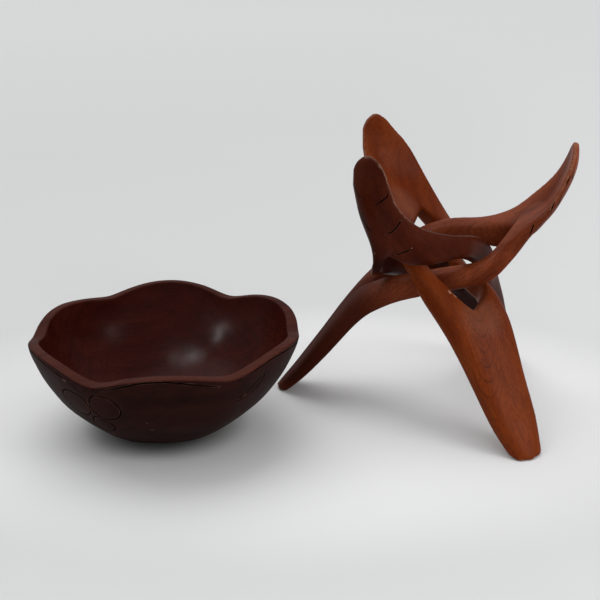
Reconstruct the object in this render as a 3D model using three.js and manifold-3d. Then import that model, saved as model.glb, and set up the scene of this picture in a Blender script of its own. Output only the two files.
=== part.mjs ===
// A carved wooden fruit bowl with a wavy rim, beside its folding stand.
//
// The stand is three alike wooden pieces. Each is one carved board: a hollowed
// petal at the top, an eye in the middle and a leg at the bottom. Every piece
// passes through the eye of the next one, so the three hold each other without
// glue, screws or pins, and they fold together like the ribs of an umbrella.
//
// Millimetres, Z up. The bowl stands at the left and the open stand at the right.

import * as THREE from "three";
import { mergeVertices } from "three/addons/utils/BufferGeometryUtils.js";
import Module from "manifold-3d";

const wasm = await Module();
wasm.setup();

// Where the two things stand on the table.
const BOWL_PLACE = { x: -154.9, y: -38.7 };
const STAND_PLACE = { x: 150.6, y: 34.3 };

// Each piece is named for where its leg is, and its petal points the other way.
// The three are carved by hand, so no two are quite alike. turn is in degrees
// about the stand's middle. petalHigh widens the petal's high side, and petalLow,
// rootLow and eyeLow widen the low side of the petal, of its root and of the eye.
// lowLift and highLift raise the two sides of the eye. railDepth, rootDepth and
// legDepth deepen the high rail, the petal's root and the leg. slotShift and
// crotchShift move the eye's upper and lower ends towards the low side, and
// crotchWide widens the lower end. tipRise lengthens the petal, and the sways
// bend the petal and the leg sideways.
const STAND_PIECES = [
  {
    name: "stand_left_leg",
    turn: -7,
    petalHigh: 1.2,
    petalLow: 0.88,
    rootLow: 0.72,
    eyeLow: 0.95,
    lowLift: 6,
    highLift: -1.5,
    railDepth: 1,
    rootDepth: 0.78,
    legDepth: 0.86,
    slotShift: 0,
    crotchShift: 0,
    crotchWide: 0,
    tipRise: -2,
    petalSway: -0.01,
    legSway: 0.1,
  },
  {
    name: "stand_front_leg",
    turn: 115,
    petalHigh: 1,
    petalLow: 1.62,
    rootLow: 1.75,
    eyeLow: 1.45,
    lowLift: 0,
    highLift: 0,
    railDepth: 1,
    rootDepth: 1,
    legDepth: 1,
    slotShift: 27,
    crotchShift: 7,
    crotchWide: 7,
    tipRise: 3.5,
    petalSway: 0.06,
    legSway: -0.1,
  },
  {
    name: "stand_back_leg",
    turn: 233.5,
    petalHigh: 1,
    petalLow: 0.72,
    rootLow: 0.5,
    eyeLow: 0.9,
    lowLift: -1,
    highLift: 3.5,
    railDepth: 1.06,
    rootDepth: 1.1,
    legDepth: 1,
    slotShift: -3,
    crotchShift: 0,
    crotchWide: 0,
    tipRise: 4,
    petalSway: -0.03,
    legSway: 0.02,
  },
];

// The bowl. It is carved by hand, so the six lobes of its rim are unlike, and its
// rim sits a little to the right of its base. Each lobe starts at a low corner.
const BOWL_BASE_RADIUS = 46;
const BOWL_RIM_RADIUS = 147.5;
const BOWL_FLOOR = 11;
const BOWL_CREST_WALL = 11;
const BOWL_CORNER_WALL = 13.5;
const BOWL_CORNER_EASE = 0.37;
const BOWL_RIM_DRIFT = { x: 3.8, y: 0.7 };
const BOWL_STEPS_ROUND = 84;
const BOWL_LOBES = [
  { turn: 3, low: 108.5, lowOut: 145.5, high: 118.5, highOut: 149 },
  { turn: 64.5, low: 106, lowOut: 147, high: 120, highOut: 150.5 },
  { turn: 125, low: 109.5, lowOut: 146, high: 116.5, highOut: 146.5 },
  { turn: 181, low: 105.5, lowOut: 145, high: 116.5, highOut: 148.5 },
  { turn: 246, low: 102.5, lowOut: 147.5, high: 116, highOut: 149.5 },
  { turn: 303.5, low: 104.5, lowOut: 146, high: 117.5, highOut: 148.5 },
];

// The stand. In a piece's own frame the petal leans out to +X and the leg to -X,
// and most measures are read by how far along X they are.
const BOARD_STEPS = 44;
const BOARD_AROUND = 18;
const FUSED = -16;
const SWAY_START = 45;
const SWAY_EASE = 25;

const BOWL_COLOUR = 0x3a1c16;
const STAND_COLOUR = 0x8a4a28;

/** Mix two numbers. */
function mix(a, b, t) {
  return a + (b - a) * t;
}

/** A smooth curve through points given as [x, y, z]. */
function smoothPath(points) {
  const corners = points.map(([x, y, z]) => new THREE.Vector3(x, y, z));
  return new THREE.CatmullRomCurve3(corners, false, "centripetal");
}

/** A smooth reading between named stations: each station is [position, value]. */
function along(stations, position) {
  const last = stations.length - 1;
  if (position <= stations[0][0]) return stations[0][1];
  if (position >= stations[last][0]) return stations[last][1];
  let index = 0;
  while (stations[index + 1][0] < position) index += 1;
  const [from, a] = stations[index];
  const [to, b] = stations[index + 1];
  const before = stations[Math.max(index - 1, 0)];
  const after = stations[Math.min(index + 2, last)];
  const slopeA = (b - before[1]) / (to - before[0]);
  const slopeB = (after[1] - a) / (after[0] - from);
  const span = to - from;
  const t = (position - from) / span;
  const bendA = (2 * t + 1) * (1 - t) * (1 - t);
  const bendB = t * t * (3 - 2 * t);
  const rise = slopeA * (1 - t) - slopeB * t;
  return a * bendA + b * bendB + rise * span * t * (1 - t);
}

/** Skin a row of closed rings, each ring a list of points, and cap both ends. */
function loft(rings) {
  const count = rings[0].length;
  const points = rings.flat();
  const positions = points.flatMap((point) => [point.x, point.y, point.z]);
  const faces = [];
  for (let row = 0; row < rings.length - 1; row += 1) {
    for (let column = 0; column < count; column += 1) {
      const next = (column + 1) % count;
      const a = row * count + column;
      const b = row * count + next;
      const c = a + count;
      const d = b + count;
      faces.push(a, b, d, a, d, c);
    }
  }
  for (const end of [0, rings.length - 1]) {
    const middle = new THREE.Vector3();
    rings[end].forEach((point) => middle.addScaledVector(point, 1 / count));
    const centre = positions.length / 3;
    positions.push(middle.x, middle.y, middle.z);
    for (let column = 0; column < count; column += 1) {
      const a = end * count + column;
      const b = end * count + ((column + 1) % count);
      if (end === 0) faces.push(centre, b, a);
      else faces.push(centre, a, b);
    }
  }
  const geometry = new THREE.BufferGeometry();
  geometry.setAttribute("position", new THREE.Float32BufferAttribute(positions, 3));
  geometry.setIndex(faces);
  return geometry;
}

/** A closed geometry as a solid that can be joined and cut. */
function toSolid(geometry) {
  const bare = geometry.clone();
  bare.deleteAttribute("normal");
  bare.deleteAttribute("uv");
  const merged = mergeVertices(bare, 1e-4);
  const mesh = new wasm.Mesh({
    numProp: 3,
    vertProperties: new Float32Array(merged.attributes.position.array),
    triVerts: new Uint32Array(merged.index.array),
  });
  const solid = new wasm.Manifold(mesh);
  return solid.volume() < 0 ? new wasm.Manifold(flipped(mesh)) : solid;
}

/** The same faces, turned to look the other way. */
function flipped(mesh) {
  const triVerts = new Uint32Array(mesh.triVerts);
  for (let i = 0; i < triVerts.length; i += 3) {
    [triVerts[i], triVerts[i + 1]] = [triVerts[i + 1], triVerts[i]];
  }
  return new wasm.Mesh({ numProp: 3, vertProperties: mesh.vertProperties, triVerts });
}

/** A solid back as a geometry. */
function toGeometry(solid) {
  const mesh = solid.getMesh();
  const geometry = new THREE.BufferGeometry();
  geometry.setAttribute("position", new THREE.Float32BufferAttribute(mesh.vertProperties, 3));
  geometry.setIndex(new THREE.Uint32BufferAttribute(mesh.triVerts, 1));
  geometry.computeVertexNormals();
  return geometry;
}

/** A box solid from its corner and its size. */
function block(x, y, z, width, depth, height) {
  const geometry = new THREE.BoxGeometry(width, depth, height);
  geometry.translate(x + width / 2, y + depth / 2, z + height / 2);
  return toSolid(geometry);
}

/** The line along the top of a board, midway between its sides, from foot to tip. */
function topLine(shape) {
  return smoothPath([
    [-186, 0, -4],
    [-161.7, 0, 31.3],
    [-134, 0, 70.6],
    [-108, 0, 108.4],
    [-88.7, 0, 132],
    [-68, 0, 149],
    [-54, 0, 157.4],
    [-41, 0, 163.7],
    [-19, 0, 173.4],
    [9.7, 0, 184.5],
    [28.6, 0, 190],
    [45, 0, 195.4],
    [62, 0, 203.5],
    [76, 0, 212.5],
    [92, 0, 225],
    [112, 0, 244],
    [128, 0, 266],
    [136, 0, 283.5 + shape.tipRise / 3],
    [139.6, 0, 295 + shape.tipRise / 2],
    [141.3, 0, 303.5 + shape.tipRise * 0.8],
    [142, 0, 309 + shape.tipRise],
  ]);
}

// How much higher the +Y side lies than the middle, for each millimetre sideways.
const TILT = [
  [-95, 0], [-68, 0.1], [-54, 0.17], [-41, 0.24], [-19, 0.38], [10, 0.42], [45, 0.37],
  [76, 0.36], [92, 0.3], [112, 0.18], [128, 0.06], [142, 0],
];
const HIGH_EDGE = [
  [-186, 15], [-161, 25.5], [-134, 29.8], [-108, 36], [-88, 39.5], [-68, 43.5], [-54, 48],
  [-41, 51.5], [-19, 54.5], [10, 54], [29, 53], [45, 49], [62, 42], [76, 35], [92, 28.5],
  [112, 25.5], [128, 22], [136, 20], [139.6, 17.5], [141.3, 12], [142, 3],
];
const LOW_EDGE = [
  [-186, 15], [-161, 26.5], [-134, 31], [-108, 36.5], [-88, 39.5], [-68, 40], [-41, 37.5],
  [-19, 37.5], [10, 42], [29, 46.5], [45, 50.5], [62, 50], [76, 46], [92, 41],
  [112, 35.5], [128, 29], [136, 24.5], [139.6, 19], [141.3, 12.5], [142, 3],
];
const HIGH_DEPTH = [
  [-186, 12], [-161, 19], [-134, 24], [-108, 27], [-88, 31], [-68, 31], [-54, 29],
  [-41, 26], [-19, 24], [29, 24], [45, 27], [62, 33], [76, 31], [92, 17], [112, 6.5],
  [128, 5], [142, 3],
];
const LOW_DEPTH = [
  [-186, 12], [-161, 19], [-134, 24], [-108, 27], [-88, 31], [-68, 32], [-41, 29],
  [-19, 25], [10, 23], [29, 22], [45, 24], [62, 27], [76, 27], [92, 17], [112, 6.5],
  [128, 5], [142, 3],
];
const ROUNDING = [[-100, 0.5], [62, 0.5], [84, 0.36], [112, 0.34], [142, 0.4]];
const HOLLOW = [[66, 0], [92, 4.5], [112, 8], [128, 5.5], [138, 2.5], [142, 0]];
const CROWN = [[60, 0], [92, 8], [112, 10.5], [128, 8], [138, 5], [142, 1]];
const SLOT_HALF = [
  [-108, FUSED], [-90, -7], [-79, 0], [-68, 9.5], [-54, 17], [-41, 22.5], [-19, 29],
  [10, 32], [29, 33], [45, 31], [62, 22.5], [74, 11], [84, -1], [94, FUSED],
];
const SLOT_MIDDLE = [
  [-88, 0], [-54, 2], [-41, 4.5], [-19, 7], [10, 4.7], [29, 2], [45, -2.5], [62, -5.5],
  [90, -6], [112, 0],
];

/**
 * One long half of a board, from its foot to the tip of its petal. The two halves
 * part round the eye and run into one another past its ends. side is 1 or -1.
 */
function halfBoard(shape, side) {
  const line = topLine(shape);
  const widening = [
    [22, 1], [50, shape.eyeLow], [80, shape.rootLow], [116, shape.petalLow],
    [131, mix(1, shape.petalLow, 0.85)], [142, 1],
  ];
  const petalHigh = [[90, 1], [116, shape.petalHigh], [132, shape.petalHigh], [142, 1]];
  const lowLift = [[38, 0], [66, shape.lowLift], [84, shape.lowLift], [112, 0]];
  const highLift = [[-20, 0], [30, shape.highLift], [84, shape.highLift], [112, 0]];
  const slotShift = [
    [-80, 0], [-60, shape.crotchShift], [-45, shape.crotchShift], [-20, 0], [6, 0],
    [20, shape.slotShift * 0.1], [30, shape.slotShift * 0.15],
    [45, shape.slotShift * 0.2], [62, shape.slotShift], [100, shape.slotShift], [116, 0],
  ];
  const slotWide = [[-84, 0], [-72, shape.crotchWide], [-50, shape.crotchWide], [-30, 0]];
  const lowDeepening = [
    [-100, shape.legDepth], [-60, shape.legDepth], [-20, 1], [40, 1],
    [64, shape.rootDepth], [92, shape.rootDepth], [112, 1],
  ];
  const highDeepening = [
    [-100, shape.legDepth], [-60, shape.legDepth], [-18, 1], [4, shape.railDepth],
    [36, shape.railDepth], [60, 1.05], [78, shape.rootDepth], [92, shape.rootDepth],
    [112, 1],
  ];
  const rings = [];
  for (let step = 0; step <= BOARD_STEPS; step += 1) {
    const centre = line.getPoint(step / BOARD_STEPS);
    const forward = line.getTangent(step / BOARD_STEPS);
    const up = new THREE.Vector3(-forward.z, 0, forward.x);
    const { x } = centre;
    const highEdge = along(HIGH_EDGE, x) * along(petalHigh, x);
    const lowEdge = along(LOW_EDGE, x) * along(widening, x);
    const middle = along(SLOT_MIDDLE, x) - along(slotShift, x);
    const slot = middle + side * (along(SLOT_HALF, x) + along(slotWide, x));
    const inner = side > 0 ? Math.max(slot, -lowEdge / 2) : Math.min(slot, highEdge / 2);
    const outer = side > 0 ? highEdge : -lowEdge;
    const deeper = side > 0 ? along(highDeepening, x) : along(lowDeepening, x);
    const depth = along(side > 0 ? HIGH_DEPTH : LOW_DEPTH, x) * deeper;
    const lift = along(side > 0 ? highLift : lowLift, x);
    const rounding = depth * along(ROUNDING, x);
    const ring = [];
    for (let i = 0; i < BOARD_AROUND; i += 1) {
      const angle = ((i + 0.5) / BOARD_AROUND) * Math.PI * 2;
      const c = Math.cos(angle);
      const s = Math.sin(angle);
      const y = mix(inner, outer, (1 + Math.sign(c) * Math.abs(c) ** 0.62) / 2);
      const swell = Math.abs(s) ** 0.62;
      const within = Math.max(1 - (y / (y > 0 ? highEdge : lowEdge)) ** 2, 0);
      let rise = -rounding * (1 - swell) - along(HOLLOW, x) * within ** 1.3;
      if (s < 0) rise = -depth + (depth - rounding) * (1 - swell) - along(CROWN, x) * within;
      rise += y * along(TILT, x) + lift;
      ring.push(new THREE.Vector3(0, y, 0).add(centre).addScaledVector(up, rise));
    }
    rings.push(side > 0 ? ring : ring.reverse());
  }
  return toSolid(loft(rings));
}

/** One whole piece of the stand in its own frame. */
function standPiece(shape) {
  const joined = halfBoard(shape, 1).add(halfBoard(shape, -1));
  const carved = joined.subtract(block(-260, -80, -40, 160, 160, 40));
  return swayed(toGeometry(carved), shape);
}

/** The piece with its petal and its leg bent a little sideways, as the wood grew. */
function swayed(geometry, shape) {
  const position = geometry.getAttribute("position");
  for (let index = 0; index < position.count; index += 1) {
    const beyond = Math.max(Math.abs(position.getX(index)) - SWAY_START, 0);
    const sway = position.getX(index) > 0 ? shape.petalSway : shape.legSway;
    position.setY(index, position.getY(index) + (sway * beyond ** 2) / (beyond + SWAY_EASE));
  }
  geometry.computeVertexNormals();
  return geometry;
}

/** The rim at a turn in degrees: its height, its radius and its wall's width. */
function rimAt(turn) {
  const count = BOWL_LOBES.length;
  let index = count - 1;
  while (index > 0 && BOWL_LOBES[index].turn > turn) index -= 1;
  const here = BOWL_LOBES[index];
  const next = BOWL_LOBES[(index + 1) % count];
  const share = (turn - here.turn) / ((next.turn - here.turn + 360) % 360);
  const swing = Math.hypot(Math.sin(Math.PI * share), BOWL_CORNER_EASE) ** 0.6;
  const still = BOWL_CORNER_EASE ** 0.6;
  const lift = (swing - still) / (Math.hypot(1, BOWL_CORNER_EASE) ** 0.6 - still);
  const passed = share * share * (3 - 2 * share);
  return {
    height: mix(mix(here.low, next.low, passed), here.high, lift),
    radius: mix(mix(here.lowOut, next.lowOut, passed), here.highOut, lift),
    wall: mix(BOWL_CORNER_WALL, BOWL_CREST_WALL, lift),
  };
}

/** The bowl: a profile that changes with the rim's wave, turned once round. */
function bowl() {
  const outerShape = [
    [0.012, 0.35],
    [0.036, 0.395],
    [0.09, 0.482],
    [0.163, 0.565],
    [0.272, 0.666],
    [0.408, 0.774],
    [0.544, 0.849],
    [0.68, 0.91],
    [0.816, 0.955],
    [0.915, 0.984],
    [1, 1],
  ];
  const innerShape = [
    [1, 1],
    [0.9, 0.985],
    [0.75, 0.95],
    [0.6, 0.895],
    [0.43, 0.81],
    [0.28, 0.7],
    [0.14, 0.55],
    [0.05, 0.38],
    [0.01, 0.2],
  ];
  const columns = [];
  for (let step = 0; step < BOWL_STEPS_ROUND; step += 1) {
    const turn = BOWL_LOBES[0].turn + (step / BOWL_STEPS_ROUND) * 360;
    const angle = THREE.MathUtils.degToRad(turn);
    const rim = rimAt(turn);
    const place = (radius, height) => {
      const drift = height / rim.height;
      const x = BOWL_RIM_DRIFT.x * drift + radius * Math.cos(angle);
      const y = BOWL_RIM_DRIFT.y * drift + radius * Math.sin(angle);
      return new THREE.Vector3(x, y, height);
    };
    const column = [place(BOWL_BASE_RADIUS, 0), place(BOWL_BASE_RADIUS + 3, 0.5)];
    for (const [up, out] of outerShape) {
      const lobed = mix(BOWL_RIM_RADIUS, rim.radius, up ** 2);
      column.push(place(lobed * out, rim.height * up * 0.985));
    }
    column.push(place(rim.radius - 1.4, rim.height));
    column.push(place(rim.radius - rim.wall + 1.2, rim.height + 0.6));
    for (const [up, out] of innerShape) {
      const lobed = mix(BOWL_RIM_RADIUS, rim.radius, up ** 2) - rim.wall;
      column.push(place(lobed * out, BOWL_FLOOR + (rim.height - 1 - BOWL_FLOOR) * up));
    }
    columns.push(column);
  }
  return toGeometry(toSolid(turnedShell(columns)));
}

/** Skin the columns round the bowl, closing the base and the floor at the axis. */
function turnedShell(columns) {
  const count = columns[0].length;
  const positions = columns.flat().flatMap((point) => [point.x, point.y, point.z]);
  const under = positions.length / 3;
  positions.push(0, 0, 0);
  positions.push(0, 0, BOWL_FLOOR);
  const faces = [];
  for (let step = 0; step < columns.length; step += 1) {
    const here = step * count;
    const there = ((step + 1) % columns.length) * count;
    for (let row = 0; row < count - 1; row += 1) {
      faces.push(here + row, there + row, there + row + 1);
      faces.push(here + row, there + row + 1, here + row + 1);
    }
    faces.push(under, there, here);
    faces.push(under + 1, here + count - 1, there + count - 1);
  }
  const geometry = new THREE.BufferGeometry();
  geometry.setAttribute("position", new THREE.Float32BufferAttribute(positions, 3));
  geometry.setIndex(faces);
  return geometry;
}

/** A named mesh with its own wood. */
function wooden(name, geometry, colour, roughness) {
  const material = new THREE.MeshStandardMaterial({ color: colour, roughness, metalness: 0 });
  const mesh = new THREE.Mesh(geometry, material);
  mesh.name = name;
  return mesh;
}

const fruitBowl = new THREE.Group();

const bowlMesh = wooden("bowl", bowl(), BOWL_COLOUR, 0.35);
bowlMesh.position.set(BOWL_PLACE.x, BOWL_PLACE.y, 0);
fruitBowl.add(bowlMesh);

const stand = new THREE.Group();
stand.position.set(STAND_PLACE.x, STAND_PLACE.y, 0);
for (const piece of STAND_PIECES) {
  const mesh = wooden(piece.name, standPiece(piece), STAND_COLOUR, 0.42);
  mesh.rotation.z = THREE.MathUtils.degToRad(piece.turn);
  stand.add(mesh);
}
fruitBowl.add(stand);

export default fruitBowl;
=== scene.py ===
"""The looks of a carved wooden fruit bowl and of the folding stand beside it.

The bowl is turned afresh, ring by ring, with its lobed rim and carved flowers.
The three boards of the stand are smoothed from their rough forms and carved
with leaf veins. Everything is in metres, in the frame's own place.
"""

import logging
import math
from dataclasses import dataclass, replace
from enum import Enum
from typing import Sequence

import bpy
from mathutils import Matrix, Vector, noise
from mathutils.bvhtree import BVHTree


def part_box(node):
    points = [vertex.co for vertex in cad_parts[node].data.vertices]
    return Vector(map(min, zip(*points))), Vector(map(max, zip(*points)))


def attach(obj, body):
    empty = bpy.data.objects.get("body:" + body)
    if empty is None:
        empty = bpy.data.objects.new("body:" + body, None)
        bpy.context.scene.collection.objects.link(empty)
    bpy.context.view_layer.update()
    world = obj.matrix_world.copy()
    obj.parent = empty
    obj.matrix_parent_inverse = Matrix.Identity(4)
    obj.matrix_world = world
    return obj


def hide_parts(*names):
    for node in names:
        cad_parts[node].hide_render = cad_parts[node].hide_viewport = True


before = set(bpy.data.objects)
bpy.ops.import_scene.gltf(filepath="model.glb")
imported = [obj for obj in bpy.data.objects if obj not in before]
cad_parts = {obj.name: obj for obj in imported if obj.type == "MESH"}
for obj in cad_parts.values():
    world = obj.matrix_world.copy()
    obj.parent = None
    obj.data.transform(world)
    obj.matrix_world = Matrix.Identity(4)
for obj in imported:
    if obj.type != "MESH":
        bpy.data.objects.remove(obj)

log = logging.getLogger("fruit_bowl")

Colour = tuple[float, float, float]
Place = tuple[float, float, float]
Station = tuple[float, float]
Look = tuple[Vector, Vector]
Piece = bpy.types.Object
Material = bpy.types.Material
Socket = bpy.types.NodeSocket

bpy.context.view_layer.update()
MIX_A, MIX_B, MIX_RESULT = 6, 7, 2
BOWL_MIDDLE = (-0.155, -0.039, 0.0)
STAND_MIDDLE = (0.1506, 0.0343, 0.0)
STAND_HEART = (0.1506, 0.0343, 0.13)
SMOOTH_ANGLE = math.radians(50)


class Carving(Enum):
    """What is carved at the corner where a lobe of the rim ends."""

    FLOWER = 1
    LEAF = 2


class BowlFace(Enum):
    """The parts of the bowl by material number: the inside's wood, a paler copy on the rim's flat top as
    painted light, and a darker copy on the outside as painted shade.
    """

    INSIDE = 0
    RIM = 1
    OUTSIDE = 2


# Carved outlines, as degrees round the bowl from a corner of its rim, and height.
FLOWER_PETALS = (
    (
        (-16.9, 0.0779), (-15.4, 0.085), (-12.0, 0.0893), (-7.7, 0.0895), (-3.9, 0.0868), (-1.9, 0.081),
        (-1.2, 0.0745), (-2.0, 0.067), (-4.9, 0.0617), (-8.6, 0.0595), (-12.5, 0.0604), (-15.2, 0.0648),
        (-16.9, 0.071),
    ),
    (
        (0.4, 0.0835), (2.3, 0.0905), (5.0, 0.0932), (8.6, 0.0922), (11.4, 0.0885), (13.3, 0.082),
        (13.8, 0.0755), (12.4, 0.0672), (8.7, 0.062), (5.3, 0.0612), (2.2, 0.0652), (0.5, 0.0705),
        (-0.1, 0.077),
    ),
    (
        (0.6, 0.0625), (3.6, 0.0592), (6.2, 0.055), (7.0, 0.0485), (5.6, 0.0432), (1.0, 0.0405),
        (-2.6, 0.0432), (-4.0, 0.0505), (-2.6, 0.0582),
    ),
)
LEAF_OUTLINE = (
    (6.7, 0.0765), (11.6, 0.0832), (15.2, 0.0898), (19.6, 0.0982), (19.3, 0.0885), (16.8, 0.0805),
    (12.6, 0.0758),
)
LEAF_RIB = ((9.4, 0.0783), (12.0, 0.0805), (14.6, 0.084), (16.7, 0.0878), (18.3, 0.0922))


def spun(before: float, here: float, after: float, last: float, share: float) -> float:
    """Read a smooth curve between two of its points.

    Args:
        before: The value ahead of the stretch.
        here: The value where the stretch starts.
        after: The value where it ends.
        last: The value past it.
        share: How far along the stretch to read.

    Returns:
        The value there.
    """
    a = 2 * here
    b = after - before
    c = 2 * before - 5 * here + 4 * after - last
    d = 3 * here - before - 3 * after + last
    return (a + b * share + c * share**2 + d * share**3) / 2


def reading(stations: Sequence[Station], position: float) -> float:
    """Read a smooth curve through stations at a position.

    Args:
        stations: Pairs of position and value, in rising order of position.
        position: Where to read.

    Returns:
        The value there, held level beyond the ends.
    """
    if position <= stations[0][0]:
        return stations[0][1]
    if position >= stations[-1][0]:
        return stations[-1][1]
    index = 0
    while stations[index + 1][0] < position:
        index += 1
    start, a = stations[index]
    end, b = stations[index + 1]
    before = stations[max(index - 1, 0)]
    after = stations[min(index + 2, len(stations) - 1)]
    slope_a = (b - before[1]) / (end - before[0])
    slope_b = (after[1] - a) / (after[0] - start)
    span = end - start
    t = (position - start) / span
    rise = a * (2 * t + 1) * (1 - t) ** 2 + b * t * t * (3 - 2 * t)
    return rise + span * (slope_a * t * (1 - t) ** 2 - slope_b * t * t * (1 - t))


def deselect_all() -> None:
    """Leave object mode with nothing selected."""
    if bpy.context.object and bpy.context.object.mode != "OBJECT":
        bpy.ops.object.mode_set(mode="OBJECT")
    bpy.ops.object.select_all(action="DESELECT")


def pick(piece: Piece) -> None:
    """Make one object the only selected and the active one."""
    deselect_all()
    piece.select_set(True)
    bpy.context.view_layer.objects.active = piece


def apply_modifier(piece: Piece, kind: str, **settings: object) -> None:
    """Add a modifier to a piece, set it and apply it.

    Args:
        piece: The object to change.
        kind: The modifier's type, such as "REMESH".
        settings: The modifier's own settings by name.
    """
    pick(piece)
    bpy.ops.object.modifier_add(type=kind)
    modifier = piece.modifiers[-1]
    for name, value in settings.items():
        setattr(modifier, name, value)
    bpy.ops.object.modifier_apply(modifier=modifier.name)


def soften(piece: Piece, shares: Sequence[float], passes: int) -> None:
    """Smooth a part of a piece.

    Args:
        piece: The object to change.
        shares: How far each of its points gives way. Those at 0 or below stay.
        passes: How often the smoothing is repeated.
    """
    group = piece.vertex_groups.new(name="soft")
    for index, share in enumerate(shares):
        if share > 0:
            group.add([index], min(share, 1.0), "REPLACE")
    apply_modifier(piece, "SMOOTH", factor=0.5, iterations=passes, vertex_group="soft")
    piece.vertex_groups.clear()


def hold_sideways(place: Vector, low: Sequence[float], high: Sequence[float]) -> None:
    """Hold a point between two corners in X and Y."""
    place.x = min(max(place.x, low[0]), high[0])
    place.y = min(max(place.y, low[1]), high[1])


class Graph:
    """Wires the nodes of one material or node group."""

    def __init__(self, tree: bpy.types.NodeTree) -> None:
        """Start on a tree."""
        self.tree = tree
        self.column = 0

    def node(self, kind: str, *inputs: object, **values: object) -> bpy.types.Node:
        """Add a node, set its properties and feed its inputs.

        Args:
            kind: The node's type, such as "ShaderNodeMath".
            inputs: Values or outputs for its first inputs, in order.
            values: Properties by name, or inputs by name with spaces as underscores.

        Returns:
            The new node.
        """
        node = self.tree.nodes.new(kind)
        self.column += 1
        node.location = (self.column * 180, 0)
        for name, value in values.items():
            if hasattr(node, name):
                setattr(node, name, value)
            else:
                self.feed(node, name.replace("_", " "), value)
        for index, value in enumerate(inputs):
            self.feed(node, index, value)
        return node

    def feed(self, node: bpy.types.Node, key: str | int, value: object) -> None:
        """Set one input of a node, or wire an output to it.

        Args:
            node: The node whose input is fed.
            key: The input's name or number.
            value: A plain value or another node's output.
        """
        socket = node.inputs[key]
        if isinstance(value, Socket):
            self.tree.links.new(value, socket)
        else:
            socket.default_value = value

    def maths(self, operation: str, a: object, b: object = 0.0) -> Socket:
        """Add a Math node with an operation such as "POWER" and return its output."""
        return self.node("ShaderNodeMath", a, b, operation=operation).outputs[0]

    def plus(self, a: object, b: object) -> Socket:
        """Add two values or outputs."""
        return self.maths("ADD", a, b)

    def minus(self, a: object, b: object) -> Socket:
        """Take the second value or output from the first."""
        return self.maths("SUBTRACT", a, b)

    def times(self, a: object, b: object) -> Socket:
        """Multiply two values or outputs."""
        return self.maths("MULTIPLY", a, b)

    def squared(self, a: object) -> Socket:
        """Multiply an output by itself."""
        return self.maths("POWER", a, 2.0)

    def distance(self, a: object, b: object) -> Socket:
        """Measure how far one place is from another."""
        return self.node("ShaderNodeVectorMath", a, b, operation="DISTANCE").outputs["Value"]

    def spread(self, value: object, low: float, high: float) -> Socket:
        """Make a smooth mask that starts at low and is whole at high, which may be less than low."""
        node = self.node(
            "ShaderNodeMapRange", interpolation_type="SMOOTHSTEP", Value=value, From_Min=low, From_Max=high
        )
        return node.outputs["Result"]

    def blend(self, mask: object, a: object, b: object) -> Socket:
        """Mix two colours by a mask.

        Args:
            mask: How much of the second colour shows.
            a: The first colour or output.
            b: The second colour or output.

        Returns:
            The mixed colour's socket.
        """
        node = self.node("ShaderNodeMix", mask, data_type="RGBA")
        for key, colour in ((MIX_A, a), (MIX_B, b)):
            self.feed(node, key, (*colour, 1.0) if isinstance(colour, tuple) else colour)
        return node.outputs[MIX_RESULT]

    def cloud(self, vector: object, scale: float, detail: float = 2.0, roughness: float = 0.5) -> Socket:
        """Add a noise, with its scale in features to a metre, and return its value from 0 to 1."""
        node = self.node(
            "ShaderNodeTexNoise", Vector=vector, Scale=scale, Detail=detail, Roughness=roughness
        )
        return node.outputs[0]

    def grain(
        self, board: Socket, along: float, across: float, detail: float = 1.0, roughness: float = 0.5
    ) -> Socket:
        """Add a noise that is drawn out along the grain, which is the board's own X."""
        drawn = self.node("ShaderNodeVectorMath", board, (along, across, across), operation="MULTIPLY")
        return self.cloud(drawn.outputs[0], 1.0, detail, roughness)

    def surface(self, colour: Socket, rough: Socket, specular: float) -> bpy.types.Node:
        """Add a material's shader and its output.

        Args:
            colour: The colour of the surface.
            rough: How dull it is.
            specular: How strongly it reflects.

        Returns:
            The shader.
        """
        shader = self.node("ShaderNodeBsdfPrincipled", Base_Color=colour, Roughness=rough)
        self.feed(shader, "Specular IOR Level", specular)
        self.node("ShaderNodeOutputMaterial", Surface=shader.outputs[0])
        return shader


def new_material(name: str) -> tuple[Material, Graph]:
    """Start a material on an empty tree.

    Args:
        name: The material's name.

    Returns:
        The material and a graph to wire it with.
    """
    material = bpy.data.materials.new(name)
    material.use_nodes = True
    material.node_tree.nodes.clear()
    return material, Graph(material.node_tree)


@dataclass(frozen=True)
class Arches:
    """Thin nested arches where a board's face cuts its rings, a little above its foot."""

    top: float = -0.0808
    lean: float = -0.172
    side: float = 0.0033
    curve: float = 150.0
    spacing: float = 0.0172
    waver: float = 9.0
    dark_from: Station = (0.0, 0.05)
    dark_until: Station = (0.2, 0.06)
    low_end: Station = (-0.16, -0.145)
    high_end: Station = (-0.052, -0.068)
    sides: Station = (0.021, 0.013)

    def mask(self, g: Graph, parts: bpy.types.Node, waver: Socket) -> Socket:
        """Draw the arches.

        Args:
            g: The group's graph.
            parts: The place in the board, taken apart.
            waver: A slow unevenness.

        Returns:
            The mask of the arches' dark lines.
        """
        along = parts.outputs["X"]
        lean = g.times(g.minus(along, self.top), self.lean)
        side = g.minus(parts.outputs["Y"], g.plus(lean, self.side))
        bent = g.minus(along, g.times(g.squared(side), self.curve))
        phase = g.maths("DIVIDE", g.plus(bent, g.times(waver, self.waver)), self.spacing)
        phase = g.maths("FRACT", phase)
        line = g.times(g.spread(phase, *self.dark_from), g.spread(phase, *self.dark_until))
        reach = g.times(g.spread(along, *self.low_end), g.spread(along, *self.high_end))
        reach = g.times(reach, g.spread(g.maths("ABSOLUTE", side), *self.sides))
        return g.times(line, reach)


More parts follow.
